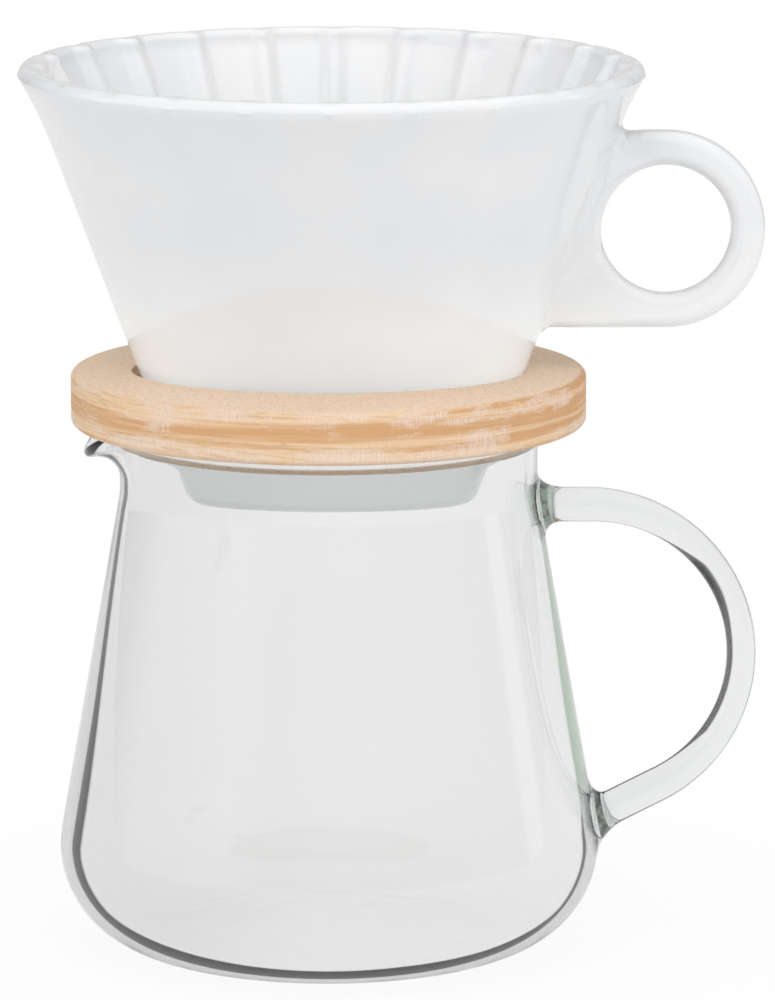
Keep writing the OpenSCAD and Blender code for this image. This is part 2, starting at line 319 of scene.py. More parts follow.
def arc(centre, radius, start, end, count):
    """count + 1 points around centre, from one angle to another."""
    return [(centre[0] + radius * cos(a), centre[1] + radius * sin(a)) for a in steps(start, end, count)]


# Meshes

def new_mesh(name, points, faces):
    mesh = bpy.data.meshes.new(name)
    mesh.from_pydata([tuple(p) for p in points], [], faces)
    mesh.update()
    return mesh


def stacked_mesh(name, rings, first_pole, last_pole):
    """A closed skin over rings of equal length that run counter-clockwise seen from the last one."""
    n = len(rings[0])
    last = (len(rings) - 1) * n
    around = [(i, (i + 1) % n) for i in range(n)]
    faces = [(row + i, row + j, row + n + j, row + n + i) for row in range(0, last, n) for i, j in around]
    faces += [(last + n, j, i) for i, j in around] + [(last + n + 1, last + i, last + j) for i, j in around]
    return new_mesh(name, [p for ring in rings for p in ring] + [first_pole, last_pole], faces)


def loop_mesh(name, rings):
    """A closed skin over rings that follow each other all the way round."""
    n, m = len(rings[0]), len(rings)
    faces = [(j * n + i, j * n + (i + 1) % n, (j + 1) % m * n + (i + 1) % n, (j + 1) % m * n + i)
             for j in range(m) for i in range(n)]
    return new_mesh(name, [p for ring in rings for p in ring], faces)


def mark(mesh, name, points):
    """A number on every point of the mesh: 1 on the points with these indices, 0 elsewhere."""
    marks = mesh.attributes.new(name, "FLOAT", "POINT")
    for i in points:
        marks.data[i].value = 1.0


def place(name, mesh):
    piece = bpy.data.objects.new(name, mesh)
    bpy.context.scene.collection.objects.link(piece)
    return piece


def middle(ring):
    return sum((Vector(p) for p in ring), Vector()) / len(ring)


def join(piece, other, operation="UNION"):
    """Applies a boolean with other, and removes other."""
    cut = piece.modifiers.new("join", "BOOLEAN")
    cut.object, cut.operation, cut.solver = other, operation, "EXACT"
    apply_modifiers(piece)
    bpy.data.objects.remove(other)


def apply_modifiers(piece):
    """Turns what the modifiers make into the piece's own mesh."""
    graph = bpy.context.evaluated_depsgraph_get()
    made = bpy.data.meshes.new_from_object(piece.evaluated_get(graph))
    piece.modifiers.clear()
    old, piece.data = piece.data, made
    made.name = piece.name
    bpy.data.meshes.remove(old)


def finish_piece(piece, material, body, slot, *nodes, sharp=40):
    """Cleans and smooths the mesh, gives it its material and sets it on its body."""
    shape = bmesh.new()
    shape.from_mesh(piece.data)
    bmesh.ops.remove_doubles(shape, verts=shape.verts, dist=0.002 * MM)
    bmesh.ops.recalc_face_normals(shape, faces=shape.faces)
    shape.to_mesh(piece.data)
    shape.free()
    piece.data.materials.clear()
    piece.data.materials.append(material)
    for face in piece.data.polygons:
        face.material_index = 0
    piece.data.shade_smooth()
    piece.data.set_sharp_from_angle(angle=radians(sharp))
    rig.ride(piece, body)
    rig.replaces(piece, *nodes)
    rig.slot(piece, slot)


# Shader and geometry nodes

class Value:
    """A number socket on which sums are written as Python sums."""

    def __init__(self, graph, socket):
        self.graph, self.socket = graph, socket

    def _math(self, operation, *values):
        made = self.graph.node("ShaderNodeMath", {"operation": operation})
        for socket, value in zip(made.inputs, values):
            self.graph.feed(socket, value)
        return Value(self.graph, made.outputs[0])

    def __add__(self, other): return self._math("ADD", self, other)
    def __radd__(self, other): return self._math("ADD", other, self)
    def __sub__(self, other): return self._math("SUBTRACT", self, other)
    def __rsub__(self, other): return self._math("SUBTRACT", other, self)
    def __mul__(self, other): return self._math("MULTIPLY", self, other)
    def __rmul__(self, other): return self._math("MULTIPLY", other, self)
    def __truediv__(self, other): return self._math("DIVIDE", self, other)
    def __pow__(self, other): return self._math("POWER", self, other)
    def __abs__(self): return self._math("ABSOLUTE", self)
    def __round__(self): return self._math("ROUND", self)
    def cos(self): return self._math("COSINE", self)
    def root(self): return self._math("SQRT", self)
    def least(self, other): return self._math("MINIMUM", self, other)
    def most(self, other): return self._math("MAXIMUM", self, other)

    def between(self, low, high, to_low=0.0, to_high=1.0):
        """A smooth step from to_low at low to to_high at high."""
        made = self.graph.node("ShaderNodeMapRange", {"interpolation_type": "SMOOTHSTEP"}, {
            "Value": self, "From Min": low, "From Max": high, "To Min": to_low, "To Max": to_high})
        return Value(self.graph, made.outputs[0])


class Graph:
    """A node tree that is filled from Python."""

    def __init__(self, tree):
        self.tree = tree

    @classmethod
    def emptied(cls, owner):
        """The node tree of a material or the world, without the nodes that it comes with."""
        owner.use_nodes = True
        owner.node_tree.nodes.clear()
        return cls(owner.node_tree)

    def node(self, kind, options=None, inputs=None):
        """A new node, with its settings and the values or links of its sockets."""
        made = self.tree.nodes.new(kind)
        for name, value in (options or {}).items():
            setattr(made, name, value)
        self.fill(made, inputs or {})
        return made

    @staticmethod
    def socket(sockets, name):
        """A socket by its identifier, or else by its name."""
        for socket in sockets:
            if socket.identifier == name:
                return socket
        return next(s for s in sockets if s.name == name and s.enabled)

    def fill(self, node, inputs):
        for name, value in inputs.items():
            self.feed(self.socket(node.inputs, name), value)

    def feed(self, socket, value):
        if isinstance(value, Value):
            value = value.socket
        if isinstance(value, bpy.types.NodeSocket):
            self.tree.links.new(value, socket)
        elif socket.type == "RGBA" and len(value) == 3:
            socket.default_value = (*value, 1)
        else:
            socket.default_value = value

    def value(self, kind, output, options=None, inputs=None):
        """One number output of a new node."""
        return Value(self, self.socket(self.node(kind, options, inputs).outputs, output))

    def mix(self, factor, first, second):
        made = self.node("ShaderNodeMix", {"data_type": "RGBA"}, {
            "Factor_Float": factor, "A_Color": first, "B_Color": second})
        return self.socket(made.outputs, "Result_Color")

    def mix_shader(self, factor, first, second):
        made = self.node("ShaderNodeMixShader", None, {
            "Fac": factor, "Shader": first.outputs[0], "Shader_001": second.outputs[0]})
        return made.outputs[0]

    def noise(self, cells, detail, rough, distort=0.0, turn=(0, 0, 0), shift=(0, 0, 0)):
        """Noise on the object's own coordinates, with a number of cells to the metre each way."""
        where = self.node("ShaderNodeTexCoord").outputs["Object"]
        mapped = self.node("ShaderNodeMapping", None, {
            "Vector": where, "Location": shift, "Rotation": turn, "Scale": cells})
        return self.value("ShaderNodeTexNoise", "Fac", None, {
            "Vector": mapped.outputs[0], "Scale": 1.0, "Detail": detail, "Roughness": rough,
            "Distortion": distort})

    def place(self):
        """Object coordinates as three numbers, in metres."""
        where = self.node("ShaderNodeTexCoord").outputs["Object"]
        parts = self.node("ShaderNodeSeparateXYZ", None, {"Vector": where})
        return [Value(self, out) for out in parts.outputs]

    def normal_up(self):
        """How far the surface faces up, from -1 to 1."""
        facing = self.node("ShaderNodeNewGeometry").outputs["Normal"]
        return Value(self, self.node("ShaderNodeSeparateXYZ", None, {"Vector": facing}).outputs[2])

    def bump(self, height, strength, distance):
        made = self.node("ShaderNodeBump", None, {
            "Height": height, "Strength": strength, "Distance": distance})
        return made.outputs[0]


def bare_material(name):
    material = bpy.data.materials.new(name)
    return material, Graph.emptied(material)


def new_material(name):
    """A material with a Principled shader: the material, its graph, that shader and the output node."""
    material, graph = bare_material(name)
    shader = graph.node("ShaderNodeBsdfPrincipled")
    out = graph.node("ShaderNodeOutputMaterial", None, {"Surface": shader.outputs[0]})
    return material, graph, shader, out


def painted_wall_lines(graph, skin, slant, x, z):
    """Painted shade: the dark line and the pale band outside it that the wall is given where it is seen edge on, in
    place of refracted surroundings.
    """
    outer = skin * (1 - graph.value("ShaderNodeNewGeometry", "Backfacing"))
    curl = abs(graph.normal_up())
    outer = outer * curl.between(0.93, 0.985, 1.0, 0.0)
    sharpness = 45.0
    low = z.between(0.030, 0.100, 0.600, 0.72) - curl.between(0.35, 0.75, 0.0, 0.09)
    low = low + x.between(-0.01, 0.03) * z.between(0.024, 0.036, 0.0, 0.07) + \
        x.between(0.012, 0.036, 0.0, 0.05)
    high = z.between(0.045, 0.100, 0.710, 0.815)
    band = ((slant - high) * sharpness + 0.5).most(0.0).least(1.0) * outer
    line = ((slant - low) * sharpness).most(0.0).least(1.0) * outer
    return line * (1 - band) * z.between(0.1, 0.104, 1.0, 0.0), band


def weld_mask(graph, shape, x, z):
    """The share of mottled glass around the rod's two ends, less at the clearer lower one."""
    mask = 0.0
    for (foot, tilt), strength in zip(shape.feet(), (0.65, 0.85)):
        along = (x - foot.x) * cos(tilt) + (z - foot.z) * sin(tilt)
        across = abs((z - foot.z) * cos(tilt) - (x - foot.x) * sin(tilt))
        mask = along.between(-0.5 * MM, 0.3 * MM) * along.between(1.9 * MM, 3.0 * MM, 1.0, 0.0) * \
            across.between(8 * MM, 9 * MM, strength, 0.0) + mask
    return mask * graph.noise((650, 650, 650), 2.0, 0.5).between(0.35, 0.65, 0.3, 1.0)


def painted_rod_stripe(shape, slant, x, z):
    """A painted dark stripe along the inside of the rod's bow, in place of refracted shade, widest in its upper half
    and thin at its ends.
    """
    bow = shape.sizes.bow_radius
    in_x, in_z = x - shape.bow_x, z - shape.sizes.bow_height
    reach = (in_x * in_x + in_z * in_z).root()
    turn = in_z / reach
    edge = turn.between(0.60, 0.96, 0.03, 0.70).most(turn.between(0.10, 0.50, 0.145, 0.03))
    edge = edge.most(turn.between(-0.85, -0.40, 0.55, 0.0))
    inner = reach.between(bow - MM, bow, 1.0, 0.0) * in_x.between(-12 * MM, -4 * MM)
    return (slant - edge).between(0.0, 0.10) * inner


def glass_material(shape):
    """Clear blown glass with faint waves, painted shade on the spout's side, painted dark lines and a painted band
    where a wall is seen edge on, that band green between the welds, mottled welds, a painted dark stripe in the rod's
    bow, a milky rim that is a painted highlight, and a tint where the path is long."""
    look, sizes = settings("pot_finishes"), shape.sizes
    material, graph, shader, out = new_material("clear_glass")
    waves = graph.noise((60, 60, 21), 2.0, 0.4)
    fine = graph.noise((220, 220, 220), 1.0, 0.4)
    slant = graph.value("ShaderNodeLayerWeight", "Facing", None, {"Blend": 0.5})
    skin = graph.value("ShaderNodeAttribute", "Fac", {"attribute_name": "outer_skin"})
    x, y, z = graph.place()
    past_wall = (x * x + y * y).root() - sizes.neck_radius + (z - sizes.neck_height) * tan(shape.lean)
    on_rod = past_wall.between(0.2 * MM, 0.6 * MM)
    # Painted shade: dark lines and a grey band where the wall is seen edge on, and that band green between the welds.
    line, band = painted_wall_lines(graph, skin, slant, x, z)
    green = band * x.between(-0.01, 0.03) * z.between(0.030, 0.036) * z.between(0.084, 0.088, 1.0, 0.0)
    weld = weld_mask(graph, shape, x, z) * on_rod
    # Painted shade: the glass is coloured darker towards its left, spout side.
    tone = graph.mix(x.between(-0.05, 0.005), look.glass_painted_shade, look.glass_clear)
    for mask, shade in ((band, look.glass_painted_band), (green, look.glass_green_painted_band), (line, look.glass_painted_edge_line),
                        (weld, look.glass_weld),
                        (painted_rod_stripe(shape, slant, x, z) * on_rod * 0.97, look.glass_painted_edge_line)):
        tone = graph.mix(mask, tone, shade)
    graph.fill(shader, {
        "Base Color": tone, "Roughness": fine.between(0.3, 0.8, 0.0, 0.012), "IOR": look.glass_index,
        "Transmission Weight": 1.0, "Normal": graph.bump(waves, 0.25, 0.25 * MM)})
    # Pale milky glass: a painted highlight on the rim, and the mottled glass at the welds.
    milky = graph.node("ShaderNodeBsdfPrincipled", None, {
        "Base Color": graph.mix(weld, look.glass_rim_painted_highlight, look.glass_weld), "Roughness": 0.25,
        "IOR": look.glass_index})
    # Painted highlight: a pale, milky top on the rim in place of its highlights.
    rim = z.between(sizes.height - 2.3 * MM, sizes.height - 1.9 * MM, 0.0, 0.7) * skin
    depth = graph.node("ShaderNodeVolumeAbsorption", None, {
        "Color": look.glass_tint, "Density": look.glass_depth})
    surface = graph.mix_shader(rim + weld * 0.65, shader, milky)
    graph.fill(out, {"Surface": surface, "Volume": depth.outputs[0]})
    return material


def porcelain_material():
    """White glaze: slow changes of tone, painted warm light low down, a foot painted lighter against its shade, a
    slightly uneven gloss and the faint ripple of a dipped surface.
    """
    look = settings("pot_finishes")
    material, graph, shader, _ = new_material("white_porcelain")
    cloud = graph.noise((26, 26, 26), 3.0, 0.5)
    ripple = graph.noise((140, 140, 98), 2.0, 0.45)
    _, _, z = graph.place()
    # Random paler clouds in the glaze, plus painted warm light low on the dripper from the wood below.
    thin = cloud.between(0.35, 0.75, 0.0, 0.25) + z.between(0.112, 0.150, 0.7, 0.0)
    tone = graph.mix(thin, look.porcelain, look.porcelain_cloud_and_warm_light)
    # Painted light: the foot under the ring's top is coloured lighter against its shade.
    tone = graph.mix(z.between(0.104, 0.110, 1.0, 0.0), tone, look.porcelain_foot_painted_light)
    rough = look.porcelain_rough
    graph.fill(shader, {
        "Base Color": tone, "Roughness": ripple.between(0.3, 0.75, rough - 0.03, rough + 0.04),
        "IOR": 1.5, "Coat Weight": 0.5, "Coat Roughness": 0.03,
        "Normal": graph.bump(ripple, 0.12, 0.12 * MM)})
    return material


def beech_material():
    """Oiled beech: bands, veins and torn grain on the turned side, ray flecks on top, and painted shade in the seat.
    """
    look, outer, under = settings("pot_finishes"), RING_BOX[1].x, SERVER_BOX[1].z
    material, graph, shader, _ = new_material("turned_beech")
    x, y, z = graph.place()
    side = (x * x + y * y).root().between(outer - 1.7 * MM, outer - 0.5 * MM)
    height = z - under
    grain = graph.noise((90, 1300, 1300), 3.0, 0.55)
    cloud = graph.noise((18, 40, 40), 2.0, 0.5)
    fleck = graph.noise((1500, 2300, 2300), 1.0, 0.4, turn=(0, 0, 0.3))
    top = graph.mix(cloud * 0.24 + grain * 0.14, look.beech_pale, look.beech_dark)
    top = graph.mix(fleck.between(0.50, 0.64, 0.0, 0.42), top, look.beech_fleck)
    # Painted shade on the seat's walls, where the dripper stands in the ring.
    seat = height.between(0.6 * MM, 1.2 * MM) * abs(graph.normal_up()).between(0.3, 0.7, 1.0, 0.0)
    top = graph.mix(seat * 0.8, top, look.beech_painted_seat_shade)
    bands = graph.noise((9, 9, 430), 4.0, 0.65, 0.2, (0.03, 0.05, 0))
    veins = graph.noise((16, 16, 300), 3.0, 0.6, 0.5, (0.05, 0.08, 0), (0.1, 0.4, 0.3))
    chatter = graph.noise((3600, 3600, 520), 2.0, 0.6)
    patch = graph.noise((60, 60, 260), 5.0, 0.7, shift=(0.3, 0.1, 0.2))
    edges = height.between(2.5 * MM, 4.2 * MM, 0.05, -0.04) + height.between(6.3 * MM, 8.2 * MM, 0.0, 0.05)
    turned = graph.mix(bands.between(0.42, 0.62), look.beech_side, look.beech_dark)
    turned = graph.mix(abs(veins - 0.5).between(0.0, 0.022, 0.55, 0.0), turned, look.beech_fleck)
    turned = graph.mix(chatter.between(0.50, 0.70, 0.0, 0.22), turned, look.beech_fleck)
    torn = (patch + edges).between(0.47, 0.62) * chatter.between(0.30, 0.60, 0.1, 1.0)
    turned = graph.mix(torn * 0.75, turned, look.beech_chalk)
    relief = grain * 0.3 + fleck * 0.12 + chatter * torn * 0.8
    graph.fill(shader, {
        "Base Color": graph.mix(side, top, turned), "Roughness": grain.between(0.25, 0.8, 0.52, 0.68),
        "Specular IOR Level": 0.35, "Normal": graph.bump(relief, 0.35, 0.2 * MM)})
    return material


# Glass server

class ServerShape:
    """The lines of the server's wall, its spout and its rod, worked out from the sizes."""

    around, rod_around = 256, 64  # points round the vessel and round the rod
    halvings = 40
    bead_loss = 0.8  # share of the rim's bead that the spout lacks at its middle
    sunk_rings = [-0.22, -0.08]  # places of a weld's rings inside the wall, in weld lengths

    def __init__(self, sizes):
        self.sizes = s = sizes
        rise, run = s.neck_height - s.corner, s.neck_radius - s.base_flat
        self.lean = asin(s.corner / hypot(run, rise)) - atan2(run, rise)
        self.corner_centre = (s.base_flat, s.corner)
        bend_rise = s.neck_bend * tan(self.lean / 2)
        self.bend_centre = (s.neck_radius + s.neck_bend, s.neck_height + bend_rise)
        self.spout_root = s.height - s.glass / 2 - s.bead + s.spout_pull - s.spout_bend - s.spout_lip
        self.upper = s.bow_height + s.bow_radius
        self.bow_x = ROD_BOX[1].x - s.rod / 2 - s.bow_radius

    def wall_radius(self, z):
        """Outer radius of the straight wall, carried on up and down."""
        return self.sizes.neck_radius + (self.sizes.neck_height - z) * tan(self.lean)

    def outer_radius(self, z):
        """Outer radius of the wall with its base corner."""
        s = self.sizes
        if z < s.corner * (1 + sin(self.lean)):
            return s.base_flat + sqrt(max(0.0, s.corner ** 2 - (z - s.corner) ** 2))
        return max(s.neck_radius, self.wall_radius(z))

    def side(self, depth):
        """Radius and height up the wall from the base to the spout, at a depth under the outer face."""
        s = self.sizes
        dome = lambda r: s.push_up * (1 - (r / s.base_flat) ** 2)
        base = [(r, dome(r) + depth) for r in steps(s.base_flat / 12, s.base_flat, 11)]
        corner = arc(self.corner_centre, s.corner - depth, -pi / 2, self.lean, 22)[1:]
        bend = arc(self.bend_centre, s.neck_bend + depth, pi + self.lean, pi, 8)
        low, high = corner[-1], bend[0]
        wall = [(low[0] + (high[0] - low[0]) * k, low[1] + (high[1] - low[1]) * k)
                for k in steps(0, 1, 16)[1:-1]]
        return base + corner + wall + bend

    def spout_turn(self, u):
        return self.sizes.spout_turn * cos(pi / 2 * u) ** 2 if abs(u) < 1 else 0.0

    def spout_middle(self, u, run):
        """Radius, height and turn of the middle of the glass at a length past the spout's root."""
        s = self.sizes
        turn = self.spout_turn(u)
        bent, past = min(run, s.spout_bend), max(0.0, run - s.spout_bend)
        a = turn * bent / s.spout_bend
        out, up = 0.0, bent
        if turn > 1e-4:
            bow = s.spout_bend / turn
            out, up = bow * (1 - cos(a)), bow * sin(a)
        return s.neck_radius - s.glass / 2 + out + past * sin(a), self.spout_root + up + past * cos(a), a

    def spout_end(self, u):
        s = self.sizes
        return s.spout_bend + s.spout_lip - s.spout_pull * (1 - self.spout_turn(u) / s.spout_turn)

    def section(self, theta):
        """The glass cut through at an angle: up the outer face, over the rim and down the inner face."""
        s = self.sizes
        u = (theta % TURN - pi) / s.spout_half
        end = self.spout_end(u)
        bead = s.bead * (1 - self.bead_loss * self.spout_turn(u) / s.spout_turn)
        swell = lambda run: 2 * bead * smooth((run - end) / s.spout_lip + 1)
        runs = steps(0, s.spout_bend, 16)[1:] + steps(s.spout_bend, end, 5)[1:]
        middles = [self.spout_middle(u, run) for run in runs]
        offset = lambda r, z, a, d: (r + d * cos(a), z - d * sin(a))
        outer = [offset(*m, s.glass / 2 + swell(run)) for run, m in zip(runs, middles)]
        inner = [offset(*m, -s.glass / 2) for m in middles]
        tip = middles[-1][2]
        lip = arc(offset(*middles[-1], bead), s.glass / 2 + bead, -tip, pi - tip, 10)[1:-1]
        return self.side(0.0) + outer + lip + inner[::-1] + self.side(s.glass)[::-1]

    def vessel(self):
        angles = turns(self.around)
        rows = zip(*[self.section(t) for t in angles])
        rings = [[(r * cos(t), r * sin(t), z) for t, (r, z) in zip(angles, row)] for row in rows]
        rise = self.sizes.push_up
        mesh = stacked_mesh("server", rings, (0, 0, rise), (0, 0, rise + self.sizes.glass))
        mark(mesh, "outer_skin", range(len(rings) // 2 * self.around))
        return mesh

    def wall_offset(self, foot, out, across):
        """How far along out, from a point beside foot, the wall's outer face lies."""
        low, high = -14 * MM, 8 * MM
        for _ in range(self.halvings):
            half = (low + high) / 2
            p = foot + across + out * half
            inside = hypot(p.x, p.y) < self.outer_radius(p.z)
            low, high = (half, high) if inside else (low, half)
        return low

    def weld_rings(self, foot, tilt, foot_radius):
        """Rings of a weld from inside the wall out to the plain rod. tilt is the rod's angle to level."""
        s = self.sizes
        out = Vector((cos(tilt), 0, sin(tilt)))
        up = Vector((-sin(tilt), 0, cos(tilt)))
        swell = foot_radius - s.rod_end / 2
        rings = []
        for k in self.sunk_rings + steps(0, 1, 14):
            rise = max(0.0, k)
            radius = foot_radius - swell * sqrt(1 - (1 - rise) ** 2) - 0.02 * swell * min(0.0, k)
            ring = []
            for t in turns(self.rod_around):
                across = radius * (cos(t) * up + sin(t) * Vector((0, 1, 0)))
                ring.append((foot + across, across))
            level = 1 - smooth(rise)
            rings.append([p + out * (level * self.wall_offset(foot, out, a) + k * s.weld_length)
                          for p, a in ring])
        return rings

    def feet(self):
        """Where the rod's lower and upper end meet the wall, and its angle to level there."""
        s = self.sizes
        sine, cosine = sin(s.bow_end), cos(s.bow_end)
        end = Vector((self.bow_x + s.bow_radius * cosine, 0, s.bow_height - s.bow_radius * sine))
        run = (end.x - self.wall_radius(end.z)) / (sine + cosine * tan(self.lean))
        lower = end - run * Vector((sine, 0, cosine))
        upper = Vector((self.wall_radius(self.upper), 0, self.upper))
        return (lower, pi / 2 - s.bow_end), (upper, 0.0)

    def rod(self):
        """The rod from the lower weld around the bow to the upper one."""
        s = self.sizes
        lower, upper = self.feet()
        first = self.weld_rings(*lower, s.lower_weld)
        last = self.weld_rings(*upper, s.upper_weld)
        bow = []
        for k in steps(0, 1, 72):
            a = -s.bow_end + k * (pi / 2 + s.bow_end)
            thick = s.rod + (s.rod_end - s.rod) * (2 * k - 1) ** 2
            way = Vector((cos(a), 0, sin(a)))
            centre = Vector((self.bow_x, 0, s.bow_height)) + s.bow_radius * way
            bow.append([centre + thick / 2 * (cos(t) * way + sin(t) * Vector((0, 1, 0)))
                        for t in turns(self.rod_around)])
        n = self.rod_around
        first = [[ring[(n // 2 - i) % n] for i in range(n)] for ring in first]
        rings = first + bow + last[::-1]
        mesh = stacked_mesh("rod", rings, middle(rings[0]), middle(rings[-1]))
        mark(mesh, "outer_skin", range(len(mesh.vertices)))
        return mesh


class POT_OT_server(bpy.types.Operator):
    """Blow the glass server and weld on its rod handle"""

    bl_idname = "pot.server"
    bl_label = "Glass server"

    def execute(self, context):
        shape = ServerShape(settings("pot_server"))
        server = place("glass_server", shape.vessel())
        join(server, place("rod", shape.rod()))
        finish_piece(server, glass_material(shape), "server", "glass",
                     "server_body", "server_handle", "upper_handle_weld", "lower_handle_weld")
        server.visible_shadow = False
        return {"FINISHED"}


# Dripper

class DripperShape:
    """The lines of the dripper, shared by the dripper and its seat in the ring."""

    halvings = 24
    shoulder_sink = 0.6  # share of the shoulder's height that lies under the ring's top
    lower_share = 0.6  # fillet of the handle's lower edge, as a share of the upper one

    def __init__(self, sizes):
        self.sizes = sizes
        self.middle_x = (DRIPPER_BOX[0].x + DRIPPER_BOX[1].x) / 2 + sizes.slide
        self.ring_top = RING_BOX[1].z
        self.rim = DRIPPER_BOX[1].z - sizes.wall / 2
        self.low = DRIPPER_BOX[0].z
        self.floor = self.low + sizes.floor
        self.shoulder = self.ring_top - self.shoulder_sink * sizes.shoulder

    def half(self, z, seat):
        """Half width or half depth of the body at a height, from its size at the seat."""
        s = self.sizes
        flare = min(1.0, max(0.0, (z - self.rim + s.flare_height) / s.flare_height))
        straight = seat + (s.rim_radius - seat) * (z - self.ring_top) / (self.rim - self.ring_top)
        return straight + s.rim_flare * flare ** 2

    def plug_inset(self, z):
        return self.sizes.plug_step * (1 - smooth((z - self.shoulder) / self.sizes.shoulder))

    def corner_inset(self, z, base):
        """How far the rounded corner above base draws the wall in."""
        k = min(1.0, max(0.0, (base + self.sizes.plug_round - z) / self.sizes.plug_round))
        return self.sizes.plug_round * (1 - sqrt(1 - k * k))

    @staticmethod
    def cove(k):
        """Rise of a hollow fillet at a distance from the wall it runs into, both in fillet radii."""
        k = 1 - min(1.0, max(0.0, k))
        return 1 - sqrt(1 - k * k)

    def point(self, z, inset, a):
        s = self.sizes
        return Vector((self.middle_x + (self.half(z, s.seat_width) - inset) * cos(a),
                       (self.half(z, s.seat_depth) - inset) * sin(a), z))

    def body(self):
        """The dripper without ribs. Each point keeps its angle, its share of a rib and the way it moves."""
        s = self.sizes
        around = 20 * s.rib_count
        angles = turns(around)
        round_off = lambda base: [base + s.plug_round * (1 - cos(a)) for a in steps(0, pi / 2, 8)]
        waist, flared = self.shoulder + s.shoulder, self.rim - s.flare_height
        rim = steps(flared, self.rim, 8)[1:]
        outside = round_off(self.low) + steps(self.low + s.plug_round, self.shoulder, 4)[1:] + \
            steps(self.shoulder, waist, 10)[1:] + steps(waist, flared, 36)[1:] + rim
        inside = round_off(self.floor) + steps(self.floor + s.plug_round, flared, 14)[1:] + rim
        rows = [(z, self.plug_inset(z) + self.corner_inset(z, self.low), 0.0, 0.0) for z in outside]
        for e in steps(0, pi, 12)[1:-1]:
            rows.append((self.rim, s.wall / 2 * (1 - cos(e)), s.wall / 2 * sin(e),
                         smooth((1.25 - cos(e)) / 2)))
        rows += [(z, s.wall + self.corner_inset(z, self.floor), 0.0, smooth((z - self.floor) / s.rib_rise))
                 for z in reversed(inside)]
        rings = [[self.point(z, inset, a) + Vector((0, 0, lift)) for a in angles]
                 for z, inset, lift, _ in rows]
        mesh = stacked_mesh("dripper", rings, (self.middle_x, 0, self.low), (self.middle_x, 0, self.floor))
        ribbing = mesh.attributes.new("rib_share", "FLOAT", "POINT")
        turn = mesh.attributes.new("rib_angle", "FLOAT", "POINT")
        way = mesh.attributes.new("rib_way", "FLOAT_VECTOR", "POINT")
        for j, row in enumerate(rows):
            for i, a in enumerate(angles):
                at = j * around + i
                ribbing.data[at].value, turn.data[at].value = row[3], a
                way.data[at].vector = (-cos(a), -sin(a), 0)
        return mesh

    def wall_x(self, z, y):
        """Where the outer face lies on the handle's side."""
        s = self.sizes
        bow = sqrt(1 - (y / self.half(z, s.seat_depth)) ** 2)
        return self.middle_x + self.half(z, s.seat_width) * bow

    def soften_root(self, mesh):
        """Evens out and smooths the mesh where the finger ring runs into the body, most of all at its top."""
        shape = bmesh.new()
        shape.from_mesh(mesh)
        low, high = FINGER_BOX[0].z - 5 * MM, FINGER_BOX[1].z + 5 * MM
        foot, top = FINGER_BOX[0].z + 3 * MM, FINGER_BOX[1].z - 6 * MM

        def near(reach, keep_below=low):
            """The points within reach of the wall, without those low on the ring's middle line."""
            return [v for v in shape.verts if v.co.x > 0 and abs(v.co.y) < 24 * MM and low < v.co.z < high
                    and (v.co.z > keep_below or abs(v.co.y) > 3 * MM)
                    and -1.5 * MM < v.co.x - self.wall_x(v.co.z, v.co.y) < reach]

        for _ in range(3):
            zone = set(near(6 * MM))
            long = [e for e in shape.edges if zone.issuperset(e.verts) and e.calc_length() > MM]
            bmesh.ops.subdivide_edges(shape, edges=long, cuts=1)
            bmesh.ops.triangulate(shape, faces=[f for f in shape.faces if len(f.verts) > 4])
        whole_rounds, narrowing_rounds, top_rounds = 3, 13, 10
        for k in range(whole_rounds + narrowing_rounds + top_rounds):
            if k < whole_rounds:
                zone = near(5 * MM)
            elif k < whole_rounds + narrowing_rounds:
                zone = near((5 - k / 5) * MM, foot)
            else:
                zone = [v for v in near(5 * MM) if v.co.z > top and abs(v.co.y) < 12 * MM]
            bmesh.ops.smooth_vert(shape, verts=zone, factor=0.5,
                                  use_axis_x=True, use_axis_y=True, use_axis_z=True)
        shape.to_mesh(mesh)
        shape.free()

    def finger_ring(self):
        """The flat handle: sections around the finger hole, each from the hole's edge out to the outline."""
        s = self.sizes
        outer = (FINGER_BOX[1].z - FINGER_BOX[0].z) / 2
        centre = Vector((FINGER_BOX[1].x - outer, 0, (FINGER_BOX[1].z + FINGER_BOX[0].z) / 2))
        half_thick = (FINGER_BOX[1].y - FINGER_BOX[0].y) / 2
        sink, overlap = 2.2 * MM, 0.15 * MM

        def edge(side, f):
            """An edge of the web, from the ring into the body: straight, a hollow fillet and a sunk end."""
            wall = lambda z: self.wall_x(centre.z + side * z, 0) - centre.x
            straight = [(k * (wall(outer) + f), side * outer) for k in steps(0, 1, 24)]
            fillet = []
            for a in steps(pi / 2, 0, 10)[1:]:
                z = outer + f * (1 - sin(a))
                fillet.append((wall(z) + f * (1 - cos(a)), side * z))
            return straight + fillet + [(wall(outer + f) - sink, side * (outer + f))]

        upper, lower = edge(1, s.finger_fillet), edge(-1, self.lower_share * s.finger_fillet)
        root = [(self.wall_x(centre.z + z, 0) - centre.x - sink, z)
                for z in steps(upper[-1][1], lower[-1][1], 60)[1:-1]]
        left = upper + root + lower[::-1]
        walk = [0.0]
        for one, two in zip(left, left[1:]):
            walk.append(walk[-1] + dist(one, two))
        bearings = [pi / 2 + pi * w / walk[-1] for w in walk]
        right = arc((0, 0), outer, -pi / 2, pi / 2, 120)[1:-1]
        outline = list(zip(left, bearings)) + [(q, atan2(q[1], q[0])) for q in right]

